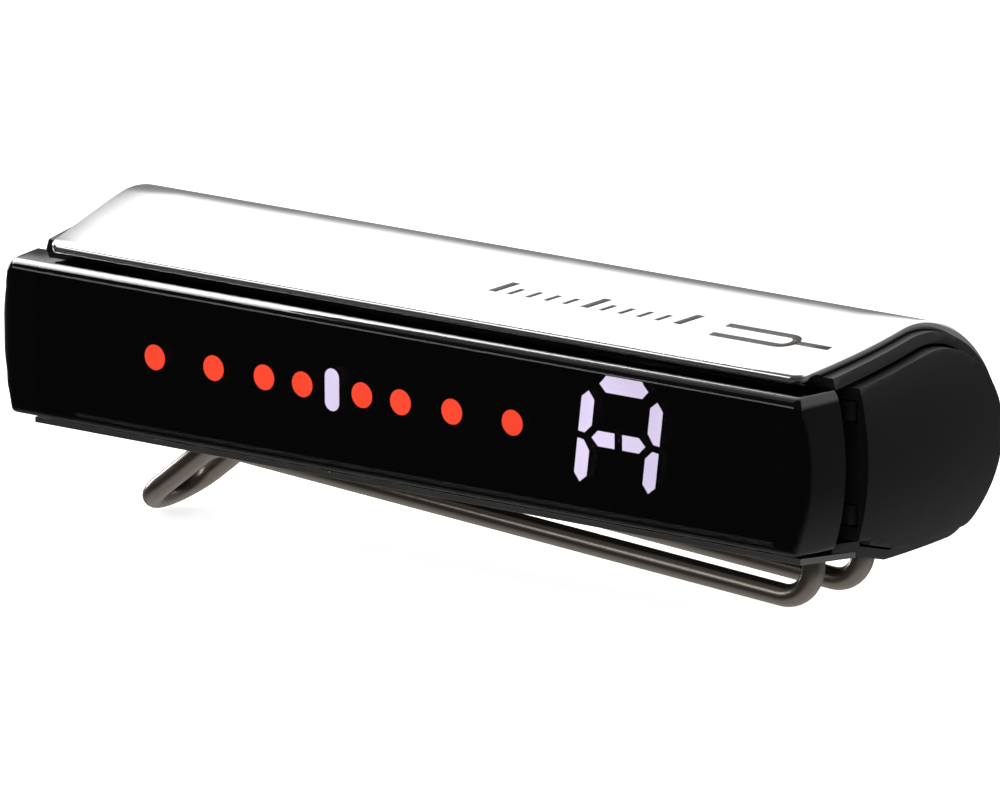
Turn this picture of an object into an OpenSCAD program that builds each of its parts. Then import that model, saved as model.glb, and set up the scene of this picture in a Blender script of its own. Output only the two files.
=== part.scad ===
// Clip on tuner: a bar-shaped display that a long hairpin spring clips to a strap.
// Millimetres. X runs along the bar, Y from the display to the round back, Z up.
// The origin is on the table, under the middle of the bar.

/* [Body] */
// Length of the bar, from crown to crown
body_l = 87.2; // [86.8:0.1:88]
// Depth of the bar, from the display to the back
body_d = 27.45; // [27.4:0.05:27.6]
// Height of the row of lights above the table
row_h = 16.9; // [16.9:0.1:18]
// Radius of the round back
back_r = 10.95; // [10.9:0.05:11]
// Side-view radius of the domed ends
crown_side_r = 22; // [21:1:26]
// Plan-view radius of the domed ends
crown_plan_r = 70; // [60:5:80]

/* [Covers] */
// Thickness of the metal cover
cover_t = 0.8; // [0.7:0.1:0.8]
// Length of the metal cover along its front edge
cover_l = 79; // [78:0.5:79.5]
// How far the metal cover sits to the right of the middle
cover_shift = 0.4; // [0:0.1:0.5]
// Thickness of the steel plate under the window
plate_t = 0.5; // [0.4:0.1:0.5]
// Wall of the black case
case_wall = 1.3; // [1.2:0.1:1.4]

/* [Display] */
// Height of the window
window_h = 13.2; // [13:0.1:13.3]
// Thickness of the window in front of the lights
window_t = 1; // [0.9:0.1:1]
// Radius of a red light
light_r = 1.08; // [1:0.02:1.2]
// Distances of the red lights from the centre light
light_steps = [3.13, 7.16, 12.5, 18.75];
// Position of the centre light along the bar
centre_x = -7.45; // [-9:0.05:-6]
// Position of the note display along the bar
note_x = 22.2; // [21:0.05:24]
// Lean of the note display, in degrees
note_lean = 7.3; // [5:0.1:9]

/* [Clip] */
// Diameter of the spring wire
wire_d = 1.9; // [1.8:0.05:1.9]
// Distance between the two strands of the hairpin
strand_gap = 6.8; // [6.6:0.1:6.9]
// Rise of the strands towards the bar, in degrees
clip_rise = 3.65; // [3.5:0.05:3.7]
// Slope of the flared lip, in degrees
lip_slope = 38; // [36:1:40]

/* [Power] */
// Diameter of the battery
cell_d = 10.5; // [10.3:0.1:10.5]
// Length of the battery with its button
cell_l = 44.5; // [43.5:0.5:44.5]
// Diameter of the power button
power_d = 5.2; // [4.8:0.1:5.4]
// Diameter of the tuning button
tuning_d = 3.6; // [3.4:0.1:3.8]

/* [Hidden] */
$fn = 72;

half_l = body_l / 2;
front_y = -13.7;
back_y = front_y + body_d;
slack = 0.05;                       // radial play of a running fit
eps = 0.01;

// Side view of the bar, (y, z) with z = 0 at the row of lights.
back_c = [back_y - back_r, -1.7];   // centre of the round back
low_r = 4;                          // round lower back corner
floor_z = -10.5;                    // lowest line of the outermost side view
low_z = floor_z + low_r;
low_c = [back_c[0] + sqrt(pow(back_r - low_r, 2) - pow(low_z - back_c[1], 2)), low_z];
low_angle = atan2(low_c[1] - back_c[1], low_c[0] - back_c[0]);
cover_tip = [-11.7, 7.5];           // front top edge of the metal cover
tip_reach = norm(cover_tip - back_c);
tip_angle = atan2(cover_tip[1] - back_c[1], cover_tip[0] - back_c[0]);
top_angle = tip_angle - acos(back_r / tip_reach);
cover_end_angle = low_angle + 2.5;  // where the metal cover stops, low on the back
foot_z = -7;                        // underside of the window
seat_slope = -0.12;                 // the steel plate leans down to the back
seat_end_y = -5.9;                  // back edge of the steel plate
belly_y = -1.5;                     // behind here the underside is level

function polar(r, angle) = [r * cos(angle), r * sin(angle)];
function arc(centre, r, a0, a1, n) = [for (i = [0 : n]) centre + polar(r, a0 + (a1 - a0) * i / n)];
function on_back(inset, angle) = back_c + polar(back_r - inset, angle);
function top_z(y) = cover_tip[1] + (cover_tip[1] - on_back(0, top_angle)[1])
    / (cover_tip[0] - on_back(0, top_angle)[0]) * (y - cover_tip[0]);
function seat_z(y) = foot_z + seat_slope * (y - front_y);

// Window, (y, z)
lens_back_y = -9.3;
lens_top_z = window_h + foot_z;
lens_edge_r = 1.1;
lens_foot_r = 0.5;
lens_corner_r = 2.6;
hollow_x = 38;
hollow_top_z = 5.3;
hollow_foot_z = -6;
case_front_y = -9;

// Lights
block_front_y = front_y + window_t + slack;
block_back_y = -10.1;
board_front_y = -9.5;
board_t = 0.8;
glow_z = -0.18;
centre_w = 1.5;
centre_h = 3.6;
stroke_w = 1.3;                     // the note display's strokes: four legs,
leg_l = 3.6;
leg_x = 3.5;
leg_z = 2.1;
bar_z = 4.6;                        // one bar on top
bar_l = 5;
half_bar_l = 2.35;                  // and two half bars in the middle
half_bar_x = 1.57;

// Ends
ring_x = 38.9;                      // outer face of the case's end walls
ring_inset = 1.7;                   // inner edge of the rim round each cap
cap_inset = 1.95;
cap_in_x = 39.3;
cap_front_y = -7.4;
cap_wall = 1.5;
rim_drop = 1;                       // the case's rim stops this far short of the crown
cap_hinge = [40.9, -6.5];
pin_r = 0.6;
knuckle_r = 1.05;
lug_play = 0.15;
lug_top = [3.3, 4.9];
lug_low = [-5.3, -3.7];
left_floor_z = -7.2;                // the left cap stops above the strap channel
cap_screw_x = -39.9;
cap_screw_ys = [-2.6, 1.6];
plate_screw_xs = [-30, 30];
plate_screw_y = -7.4;

// Strap channel under the bar
channel_y = [-6, 3.9];
channel_z = -8.4;
channel_x = 37.4;

// Clip, (x, z) along one strand
wire_r = wire_d / 2;
strand_y = [-1.05 - strand_gap / 2, -1.05 + strand_gap / 2];
pivot = [35.5, -7.05];
elbow_r = 1.3;                      // the ends turn in towards each other
root_r = 3;
root_c = [pivot[0] - root_r, -10.15];
run_start = root_c + polar(root_r, -90 - clip_rise);
run_l = 57.9;
run_end = run_start + polar(run_l, 180 - clip_rise);
peak_r = 4;
peak_c = run_end + polar(peak_r, -90 - clip_rise);
flare_start = peak_c + polar(peak_r, 90 + lip_slope);
flare_l = 5.45;
lip_c = flare_start + polar(flare_l, 180 + lip_slope);
lip_r = strand_gap / 2;
clip_screw_x = 31.9;
clip_screw_ys = [-2.3, 0.2];

// Battery chamber
cell_c = [2.2, 0.6];
cell_r = cell_d / 2;
tube_r = cell_r + 0.25;
cell_x0 = -6.4;
cell_button_l = 0.9;
tube_x0 = -9.6;

// Buttons, (y, z)
power_at = [-1.2, 0];
tuning_at = [6.2, 0];
button_proud = 0.35;
power_flange_x = -41.8;
tuning_flange_x = -41.5;
flange_t = 0.6;
stem_x = -40.4;
switch_x = -39.6;
button_board_x = -37.8;

module lift() translate([0, 0, row_h]) children();
module along_x(x0, x1) translate([x0, 0, 0]) rotate([90, 0, 90]) linear_extrude(x1 - x0) children();
module along_y(y0, y1) translate([0, y1, 0]) rotate([90, 0, 0]) linear_extrude(y1 - y0) children();
module block(x, y, z) translate([x[0], y[0], z[0]]) cube([x[1] - x[0], y[1] - y[0], z[1] - z[0]]);
module rod_x(at, r, x0, x1) translate([x0, at[0], at[1]]) rotate([0, 90, 0]) cylinder(r = r, h = x1 - x0);
module rod_y(at, r, y0, y1) translate([at[0], y0, at[1]]) rotate([-90, 0, 0]) cylinder(r = r, h = y1 - y0);
module rod_z(at, r, z0, z1) translate([at[0], at[1], z0]) cylinder(r = r, h = z1 - z0);

// Side view of the bar, drawn in by inset
module profile(inset) {
    lean = [-inset * cos(top_angle), -inset * sin(top_angle)];
    front = -16;
    drop = inset - cover_t;
    polygon(concat(
        [[front, seat_z(front) + drop], [seat_end_y, seat_z(seat_end_y) + drop],
            [seat_end_y + 0.2, channel_z + drop], [belly_y, floor_z + 0.1 + inset]],
        arc(low_c, low_r - inset, -90, low_angle, 8),
        arc(back_c, back_r - inset, low_angle, top_angle, 32),
        [[front, top_z(front)] + lean]
    ));
}

// Solid inside one domed end, whose crown is at x = end
module dome(end) {
    tall = 14;
    join = crown_plan_r - crown_side_r + 4;
    translate([end - crown_plan_r, 0, 0]) rotate_extrude($fn = 360) {
        translate([0, -tall]) square([join, 2 * tall]);
        intersection() {
            translate([crown_plan_r - crown_side_r, 0]) circle(crown_side_r, $fn = 180);
            translate([join, -tall]) square([crown_side_r, 2 * tall]);
        }
    }
}

module between_domes(end) {
    intersection() {
        children();
        dome(end);
        mirror([1, 0, 0]) dome(end);
    }
}

// Metal cover over the top and round the back
module metal_cover() {
    corner_r = 1.5;
    flare = 1.2;
    x_left = cover_shift - cover_l / 2;
    x_right = cover_shift + cover_l / 2;
    color("gainsboro") lift() intersection() {
        between_domes(half_l - rim_drop + 0.2) along_x(-half_l, half_l) difference() {
            profile(0);
            profile(cover_t);
            polygon([back_c, on_back(-3, cover_end_angle), [back_y + 5, floor_z - 5],
                [cover_tip[0], floor_z - 5], [cover_tip[0], back_c[1]]]);
        }
        // plan outline: rounded front corners, ends that widen a little to the back
        translate([0, 0, -12]) linear_extrude(24) {
            polygon([[x_left + corner_r, cover_tip[0]],
                [x_right - corner_r, cover_tip[0]], [x_right, cover_tip[0] + corner_r],
                [x_right + flare, -2], [x_right + 4, back_y + 1], [x_left - 4, back_y + 1],
                [x_left - flare, -2], [x_left, cover_tip[0] + corner_r]]);
            for (x = [x_left + corner_r, x_right - corner_r])
                translate([x, cover_tip[0] + corner_r]) circle(corner_r);
        }
    }
}

// Lug that carries the hinge pin of the battery cap
module hinge_lug(z) {
    rod_z(cap_hinge, knuckle_r, z[0], z[1]);
    block([ring_x - 0.5, cap_hinge[0]], [cap_hinge[1] - knuckle_r, cap_hinge[1] + knuckle_r], z);
}

module cap_outline(inset, low) {
    intersection() {
        profile(inset);
        translate([cap_front_y, low]) square([30, 24]);
    }
}

module button_way() {
    intersection() {
        profile(3.3);
        translate([-6.9, -5.6]) square([17, 11.2]);
    }
}

// Black case: one tube with the window opening in front and a rim round each end
module main_case() {
    end_wall = 1.3;
    front_wall = 1.2;
    color([0.11, 0.11, 0.12]) lift() {
        difference() {
            between_domes(half_l - rim_drop) intersection() {
                along_x(-half_l, half_l) profile(cover_t);
                block([-half_l, half_l], [case_front_y, 20], [-12, 12]);
            }
            // hollow, round the battery tube
            difference() {
                along_x(1 - ring_x, ring_x - end_wall) intersection() {
                    profile(cover_t + case_wall);
                    translate([case_front_y + front_wall, channel_z + front_wall]) square([30, 24]);
                }
                rod_x(cell_c, tube_r + 0.9, tube_x0 - 0.9, ring_x);
            }
            rod_x(cell_c, tube_r, tube_x0, ring_x + 1);
            // window opening
            block([-37.8, 37.8], [case_front_y - 1, case_front_y + 1.3], [-5.7, 5.3]);
            // recesses for the caps
            along_x(ring_x, half_l + 1) profile(ring_inset);
            along_x(-half_l - 1, -ring_x) intersection() {
                profile(ring_inset);
                translate([-20, left_floor_z]) square([40, 24]);
            }
            // way through the left end wall to the buttons
            along_x(-ring_x - 1, 2 - ring_x) button_way();
            // channel that the strap lies in
            block([-half_l - 1, channel_x], channel_y, [-12, channel_z]);
            // seat of the clip anchor, slots for the legs of the clip, screw holes
            block([33.5, 37.3], [-3.3, 1.2], [-9, -5.8]);
            block([34.1, 37], [-5.8, -3.2], [-9, -5.7]);
            block([34.1, 37], [1.1, 3.7], [-9, -5.7]);
            for (y = clip_screw_ys) {
                rod_z([clip_screw_x, y], 0.62, -9, -7);
                rod_z([clip_screw_x, y], 1.12, -9, channel_z + 0.5);
            }
            for (x = plate_screw_xs) rod_z([x, plate_screw_y], 0.6, -9, -6.3);
            for (y = cap_screw_ys) {
                rod_z([cap_screw_x, y], 0.5, -9, -6.9);
                rod_z([cap_screw_x, y], 0.95, -9, channel_z + 0.4);
            }
            // slot for the latch of the battery cap
            block([ring_x - 2, ring_x + 1], [10.3, 11.7], [-4, 0.2]);
        }
        difference() {
            union() {
                hinge_lug(lug_top);
                hinge_lug(lug_low);
            }
            rod_z(cap_hinge, pin_r, -12, 12);
        }
    }
}

module lens_outline(inset) {
    foot = foot_z + lens_foot_r;
    top = lens_top_z - lens_edge_r;
    translate([front_y + lens_edge_r, top]) circle(lens_edge_r - inset);
    translate([front_y + lens_foot_r, foot]) circle(lens_foot_r - inset);
    translate([front_y + inset, foot]) square([lens_back_y - front_y - inset, top - foot]);
    translate([front_y + lens_foot_r, foot_z + inset])
        square([lens_back_y - front_y - lens_foot_r, lens_foot_r]);
    translate([front_y + lens_edge_r, top - eps])
        square([lens_back_y - front_y - lens_edge_r, lens_edge_r + eps - inset]);
}

// Smoked window: a tray, open at the back
module front_lens() {
    color([0.05, 0.05, 0.06, 0.9]) lift() difference() {
        between_domes(half_l) intersection() {
            along_x(-half_l, half_l) lens_outline(0);
            translate([0, 0, -12]) linear_extrude(24) {
                corner_y = front_y + lens_corner_r;
                corner_x = 40.2;
                translate([-corner_x, front_y]) square([2 * corner_x, lens_corner_r]);
                translate([-half_l, corner_y]) square([2 * half_l, 6]);
                for (x = [-corner_x, corner_x]) translate([x, corner_y]) circle(lens_corner_r);
            }
        }
        block([-hollow_x, hollow_x], [front_y + window_t, 0], [hollow_foot_z, hollow_top_z]);
    }
}

// Rubber seal between the window and the case
module lens_gasket() {
    color([0.08, 0.08, 0.08]) lift() difference() {
        block([-38.8, 38.8], [lens_back_y, case_front_y], [foot_z + 0.3, lens_top_z - 0.2]);
        block([-hollow_x, hollow_x], [lens_back_y - 1, 0], [hollow_foot_z, hollow_top_z]);
    }
}

module pill(w, h) {
    for (side = [-1, 1]) translate([0, side * (h - w) / 2]) circle(w / 2);
    square([w, h - w], center = true);
}

// Strokes of the note display: pointed at both ends, or square at the right end
module bar(l, w, square_end = false) {
    point = w / 2;
    side = l / 2 - (square_end ? 0 : point);
    polygon([[-l / 2, 0], [point - l / 2, point], [side, point], [l / 2, 0], [side, -point],
        [point - l / 2, -point]]);
}

// Upright stroke from z = 0 up: its foot is cut back on the inner side, where x is positive
module leg(l, w) {
    cut = 0.6 * w;
    polygon([[-w / 2, 0], [0, 0], [w / 2, cut], [w / 2, l - w / 2], [0, l], [-w / 2, l - w / 2]]);
}

function leaning(z) = z * tan(note_lean);

module note_strokes() {
    foot = leg_z - leg_l / 2;
    translate([note_x, glow_z]) {
        for (side = [0, 1], level = [0, 1])
            translate([(2 * side - 1) * leg_x + leaning((1 - 2 * level) * foot), (1 - 2 * level) * foot])
                rotate(-note_lean) mirror([side, 0]) mirror([0, level]) leg(leg_l, stroke_w);
        translate([leaning(bar_z), bar_z]) bar(bar_l, stroke_w);
        translate([-half_bar_x, 0]) bar(half_bar_l, stroke_w, square_end = true);
        translate([half_bar_x, 0]) rotate(180) bar(half_bar_l, stroke_w, square_end = true);
    }
}

module red_spots() {
    for (side = [-1, 1], step = light_steps)
        translate([centre_x + side * step, glow_z]) circle(light_r);
}

module centre_spot() translate([centre_x, glow_z]) pill(centre_w, centre_h);

// Black block with a cavity for each light
module light_block() {
    color([0.04, 0.04, 0.04]) lift() difference() {
        block([0.1 - hollow_x, hollow_x - 0.1], [block_front_y, block_back_y], [hollow_foot_z + 0.1, hollow_top_z - 0.1]);
        along_y(block_front_y - 1, block_back_y + 1) {
            red_spots();
            centre_spot();
            note_strokes();
        }
    }
}

module red_lights() color([1, 0.2, 0.12]) lift() along_y(block_front_y, block_back_y) red_spots();
module centre_light() color([0.85, 0.78, 0.9]) lift() along_y(block_front_y, block_back_y) centre_spot();
module note_segments() color([0.9, 0.86, 0.95]) lift() along_y(block_front_y, block_back_y) note_strokes();

module chip_at(x, z, w, h) block([x - w / 2, x + w / 2], [block_back_y, board_front_y], [z - h / 2, z + h / 2]);

module red_chips() {
    color([0.9, 0.85, 0.6]) lift()
        for (side = [-1, 1], step = light_steps) chip_at(centre_x + side * step, glow_z, 1, 1.6);
}

module white_chips() {
    color([0.95, 0.9, 0.5]) lift() {
        chip_at(centre_x, glow_z, 1, 1.6);
        for (side = [-1, 1], level = [-1, 1])
            chip_at(note_x + side * leg_x + leaning(level * leg_z), glow_z + level * leg_z, 0.9, 1.6);
        chip_at(note_x + leaning(bar_z), glow_z + bar_z, 1.6, 0.7);
        for (side = [-1, 1]) chip_at(note_x + side * half_bar_x, glow_z, 1.4, 0.7);
    }
}

module display_board() {
    color([0.08, 0.3, 0.16]) lift()
        block([-37.7, 37.7], [board_front_y, board_front_y + board_t], [-5.5, 5.1]);
}

// Thin steel plate under the window and the front of the case
module bottom_plate() {
    gap = 0.02;
    front = front_y + 0.4;
    color([0.6, 0.6, 0.6]) lift() difference() {
        along_x(-39, 40.8) polygon([
            [front, seat_z(front) - gap], [seat_end_y, seat_z(seat_end_y) - gap],
            [seat_end_y, seat_z(seat_end_y) - gap - plate_t], [front, seat_z(front) - gap - plate_t]
        ]);
        for (x = plate_screw_xs) rod_z([x, plate_screw_y], 1.2, -11, -7);
    }
}

module plate_screws() {
    color("silver") lift() for (x = plate_screw_xs) {
        rod_z([x, plate_screw_y], 0.6, -8.1, -6.4);
        rod_z([x, plate_screw_y], 1.1, -8.3, -7.92);
    }
}

// Left end cap with the two button holes
module left_end_cap() {
    low = left_floor_z + 0.2;
    color([0.1, 0.1, 0.11]) lift() difference() {
        between_domes(half_l) along_x(-half_l, -cap_in_x) cap_outline(cap_inset, low);
        between_domes(half_l - cap_wall) along_x(-half_l, 1 - cap_in_x) intersection() {
            profile(cap_inset + cap_wall);
            translate([cap_front_y + cap_wall, low + cap_wall]) square([30, 24]);
        }
        rod_x(power_at, power_d / 2 + slack, -half_l - 1, 0);
        rod_x(tuning_at, tuning_d / 2 + slack, -half_l - 1, 0);
        for (y = cap_screw_ys) rod_z([cap_screw_x, y], 0.5, -10, low + cap_wall - 0.2);
    }
}

module cap_screws() {
    color("silver") lift() for (y = cap_screw_ys) {
        rod_z([cap_screw_x, y], 0.9, channel_z, channel_z + 0.4);
        rod_z([cap_screw_x, y], 0.5, channel_z, left_floor_z + cap_wall - 0.1);
    }
}

// Right end cap: hinged at its front edge, it opens to let the battery out
module battery_cap() {
    color([0.11, 0.11, 0.12]) lift() {
        difference() {
            between_domes(half_l) along_x(cap_in_x, half_l) cap_outline(cap_inset, -12);
            difference() {
                between_domes(half_l - cap_wall) along_x(cap_in_x - 1, half_l) intersection() {
                    profile(cap_inset + cap_wall);
                    translate([-5, -12]) square([30, 24]);
                }
                // boss behind the contact
                block([cap_in_x + 0.3, half_l], [cell_c[0] - 2.5, cell_c[0] + 2.5],
                    [cell_c[1] - 2, cell_c[1] + 2]);
            }
            // room for the lugs of the case as the cap turns
            for (lug = [lug_top, lug_low])
                block([cap_in_x - 1, cap_hinge[0] + knuckle_r + lug_play + 0.05],
                    [cap_front_y - 1, cap_hinge[1] + knuckle_r + lug_play],
                    [lug[0] - lug_play, lug[1] + lug_play]);
            rod_z(cap_hinge, pin_r + slack, lug_low[0] - lug_play, lug_top[1] + lug_play);
        }
        // latch
        block([ring_x - 1.5, cap_in_x + 1.6], [10.6, 11.2], [-3.6, -0.2]);
    }
}

module cap_hinge_pin() color("silver") lift() rod_z(cap_hinge, pin_r, lug_low[0], lug_top[1]);

// Contact on the inside of the battery cap
module cap_contact() {
    color([0.75, 0.7, 0.5]) lift() {
        block([cap_in_x, cap_in_x + 0.3], [cell_c[0] - 3.5, cell_c[0] + 3.5],
            [cell_c[1] - 3, cell_c[1] + 3]);
        rod_x(cell_c, 1.6, cell_x0 + cell_l + 0.05, cap_in_x);
    }
}

module battery() {
    color([0.16, 0.32, 0.3]) lift() {
        rod_x(cell_c, cell_r, cell_x0, cell_x0 + cell_l - cell_button_l);
        rod_x(cell_c, 1.9, cell_x0 + cell_l - cell_button_l, cell_x0 + cell_l);
    }
}

// Conical contact spring at the closed end of the battery tube
module battery_spring() {
    turns = 3;
    spring_wire_r = 0.3;
    x_back = tube_x0 + 0.45;
    pitch = (cell_x0 - x_back - 2 * spring_wire_r) / (turns - 1);
    color("silver") lift() for (i = [0 : turns - 1])
        translate([x_back + spring_wire_r + i * pitch, cell_c[0], cell_c[1]]) rotate([0, 90, 0])
            rotate_extrude() translate([4.2 - 0.8 * i, 0]) circle(spring_wire_r, $fn = 24);
}

module spring_plate() {
    color([0.75, 0.72, 0.6]) lift()
        block([tube_x0, tube_x0 + 0.45], [cell_c[0] - 3.6, cell_c[0] + 3.6],
            [cell_c[1] - 4, cell_c[1] + 4]);
}

module main_board() {
    color([0.08, 0.3, 0.16]) lift() block([-36, 30], [-6.6, -5.8], [-5.5, 5.4]);
}

module processor_chip() color([0.08, 0.08, 0.09]) lift() block([-20, -13], [-5.8, -4.9], [-3.5, 3.5]);

module clock_crystal() color([0.8, 0.8, 0.8]) lift() rod_x([-5.2, 3.9], 0.6, -30, -24);

module small_chips() {
    color([0.2, 0.2, 0.22]) lift() {
        for (i = [0 : 5]) block([-32 + 2.4 * i, -30.8 + 2.4 * i], [-5.8, -5.3], [-4.4, -3.6]);
        for (i = [0 : 3]) block([-33, -31.6], [-5.8, -5.1], [-2 + 1.6 * i, -1.2 + 1.6 * i]);
        block([-28, -24.5], [-5.8, -4.8], [-1.6, 1.6]);
    }
}

piezo_at = [-24, 3];
piezo_z = channel_z + 1.2;
module piezo_pad() color([0.15, 0.15, 0.15]) lift() rod_z(piezo_at, 4.5, piezo_z, piezo_z + 0.5);
module piezo_disc() color([0.8, 0.62, 0.3]) lift() rod_z(piezo_at, 6.2, piezo_z + 0.5, piezo_z + 0.75);
module piezo_ceramic() color([0.85, 0.85, 0.8]) lift() rod_z(piezo_at, 4.4, piezo_z + 0.75, piezo_z + 1);

// Centre line of one strand, from its pivot to the lip, as [x, y, z] points
function in_plane(points, y) = [for (p = points) [p[0], y, p[1]]];
function strand(y, inward) = concat(
    [for (a = [0 : 15 : 75]) [pivot[0], y + inward * elbow_r * (1 - sin(a)), pivot[1] - elbow_r * (1 - cos(a))]],
    in_plane(concat(
        [[pivot[0], pivot[1] - elbow_r]],
        arc(root_c, root_r, 0, -90 - clip_rise, 9),
        arc(peak_c, peak_r, 90 - clip_rise, 90 + lip_slope, 5)
    ), y)
);
function lip() = [for (a = [-90 : 15 : 90])
    let (out = lip_r * cos(a))
    [lip_c[0] - out * cos(lip_slope), (strand_y[0] + strand_y[1]) / 2 + lip_r * sin(a),
        lip_c[1] - out * sin(lip_slope)]];
function reversed(list) = [for (i = [len(list) - 1 : -1 : 0]) list[i]];
function unit(v) = v / norm(v);

// Direction of the wire at point i
function heading(path, i) = unit(path[min(i + 1, len(path) - 1)] - path[max(i - 1, 0)]);

// Frames carried along the path without twist: each keeps the last one's side direction
function sides(path, i, side, out = []) = i == len(path) ? out
    : let (t = heading(path, i), s = unit(side - (side * t) * t))
        sides(path, i + 1, s, concat(out, [s]));

function ring(centre, t, s, r, n) = [for (k = [0 : n - 1])
    centre + r * cos(360 * k / n) * s + r * sin(360 * k / n) * cross(t, s)];

module sweep(path, r, n, side) {
    s = sides(path, 0, side);
    rings = len(path);
    points = [for (i = [0 : rings - 1]) each ring(path[i], heading(path, i), s[i], r, n)];
    walls = [for (i = [0 : rings - 2], k = [0 : n - 1])
        let (a = i * n + k, b = i * n + (k + 1) % n)
        each [[a, b + n, b], [a, a + n, b + n]]];
    first = [for (k = [1 : n - 2]) [0, k, k + 1]];
    tail = (rings - 1) * n;
    last = [for (k = [1 : n - 2]) [tail, tail + k + 1, tail + k]];
    polyhedron(points, concat(walls, first, last));
}

// Hairpin spring: two strands, joined by the lip, with their ends turned in as pivots
module clip_wire() {
    sides_n = 16;
    facet_r = wire_r * 1.021;
    stub_l = 1.8;
    front = strand(strand_y[0], 1);
    back = strand(strand_y[1], -1);
    path = concat(front, lip(), reversed(back));
    color([0.55, 0.52, 0.48]) lift() {
        sweep(path, facet_r, sides_n, [1, 0, 0]);
        rod_y(pivot, wire_r, strand_y[0] + elbow_r - 0.2, strand_y[0] + elbow_r + stub_l);
        rod_y(pivot, wire_r, strand_y[1] - elbow_r - stub_l, strand_y[1] - elbow_r + 0.2);
    }
}

// Steel block that the ends of the clip turn in
module clip_anchor() {
    color([0.5, 0.5, 0.5]) lift() difference() {
        union() {
            block([33.6, 37.2], [-3.2, 1.1], [channel_z + 0.05, -5.9]);
            block([30.3, 33.7], [-3.2, 1.1], [-7.2, -5.9]);
        }
        rod_y(pivot, wire_r + slack, -4, 2);
        for (y = clip_screw_ys) rod_z([clip_screw_x, y], 0.6, -8, -6.2);
    }
}

module clip_screws() {
    color("silver") lift() for (y = clip_screw_ys) {
        rod_z([clip_screw_x, y], 1.1, channel_z, channel_z + 0.5);
        rod_z([clip_screw_x, y], 0.6, channel_z, -6.2);
    }
}

module button(at, r, flange_x) {
    between_domes(half_l + button_proud) rod_x(at, r, -half_l - 1, flange_x + flange_t);
    rod_x(at, r + 0.5, flange_x, flange_x + flange_t);
    rod_x(at, 1, flange_x + flange_t - eps, stem_x);
}

module power_button() {
    color([0.14, 0.14, 0.15]) lift() button(power_at, power_d / 2, power_flange_x);
}

module tuning_button() {
    color([0.14, 0.14, 0.15]) lift() button(tuning_at, tuning_d / 2, tuning_flange_x);
}

module plunger(at) rod_x(at, 0.8, stem_x, switch_x + 0.3);
module power_plunger() color([0.05, 0.05, 0.05]) lift() plunger(power_at);
module tuning_plunger() color([0.05, 0.05, 0.05]) lift() plunger(tuning_at);

module switch_can(at) {
    half = 1.6;
    difference() {
        block([switch_x, button_board_x], [at[0] - half, at[0] + half], [at[1] - half, at[1] + half]);
        rod_x(at, 0.8 + slack, switch_x - 1, switch_x + 0.95);
    }
}

module power_switch() color("silver") lift() switch_can(power_at);
module tuning_switch() color("silver") lift() switch_can(tuning_at);

module button_board() {
    color([0.08, 0.3, 0.16]) lift() along_x(button_board_x, button_board_x + board_t) button_way();
}

metal_cover();
main_case();
front_lens();
lens_gasket();
light_block();
red_lights();
centre_light();
note_segments();
display_board();
red_chips();
white_chips();
bottom_plate();
plate_screws();
left_end_cap();
cap_screws();
battery_cap();
cap_hinge_pin();
cap_contact();
battery();
battery_spring();
spring_plate();
main_board();
processor_chip();
clock_crystal();
small_chips();
piezo_disc();
piezo_ceramic();
piezo_pad();
clip_wire();
clip_anchor();
clip_screws();
power_button();
tuning_button();
power_plunger();
tuning_plunger();
power_switch();
tuning_switch();
button_board();
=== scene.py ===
"""Clip on tuner: a bar with a smoked window, a metal cover, a hinged battery cap and a spring clip.

The packed part is the frame. This file adds its looks: finishes, softened edges, the window, the
cover, the spring wire, the printed marks, and the stage.
Outlines are in millimetres, (x, y, z) with z = 0 at the row of lights, as in the part's own source.
"""

import math

import bmesh
import bpy
from bpy.props import FloatProperty, FloatVectorProperty, PointerProperty
from mathutils import Matrix, Vector


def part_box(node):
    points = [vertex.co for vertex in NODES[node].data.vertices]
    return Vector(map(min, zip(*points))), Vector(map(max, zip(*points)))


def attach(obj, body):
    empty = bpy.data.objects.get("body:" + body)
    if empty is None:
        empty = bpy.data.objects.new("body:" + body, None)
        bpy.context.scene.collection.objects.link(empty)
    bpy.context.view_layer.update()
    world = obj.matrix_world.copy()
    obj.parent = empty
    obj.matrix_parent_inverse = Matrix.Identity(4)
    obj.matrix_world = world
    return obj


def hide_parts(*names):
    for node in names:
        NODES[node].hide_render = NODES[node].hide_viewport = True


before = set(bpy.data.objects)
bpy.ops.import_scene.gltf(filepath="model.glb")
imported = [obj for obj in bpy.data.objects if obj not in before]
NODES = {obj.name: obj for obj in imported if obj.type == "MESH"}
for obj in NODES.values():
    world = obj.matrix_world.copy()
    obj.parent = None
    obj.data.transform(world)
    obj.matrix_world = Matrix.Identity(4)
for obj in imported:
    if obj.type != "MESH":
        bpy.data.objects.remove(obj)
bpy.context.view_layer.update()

bl_info = {
    "name": "Clip on tuner",
    "version": (1, 0, 0),
    "blender": (4, 5, 0),
    "location": "3D View > Sidebar > Tuner",
    "description": "Builds the looks of a clip on tuner around its packed frame",
    "category": "Add Mesh",
}

MM = 0.001
SAME_POINT = 1e-6  # points of a new mesh that are closer than this are one
CAD_SAME_POINT = 6e-6  # the same for a CAD node, whose triangles meet less exactly
CAD_FLAT = math.radians(0.4)  # faces of a CAD node that turn by less than this are one
LENS_LOW, LENS_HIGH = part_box("front_lens")
LIGHT_LOW, LIGHT_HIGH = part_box("red_lights")
GLOW_DROP = 0.18 * MM  # the lights sit this far below the row's own height
ROW_Z = (LIGHT_LOW.z + LIGHT_HIGH.z) / 2 + GLOW_DROP


# ---------------------------------------------------------------- settings


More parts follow.
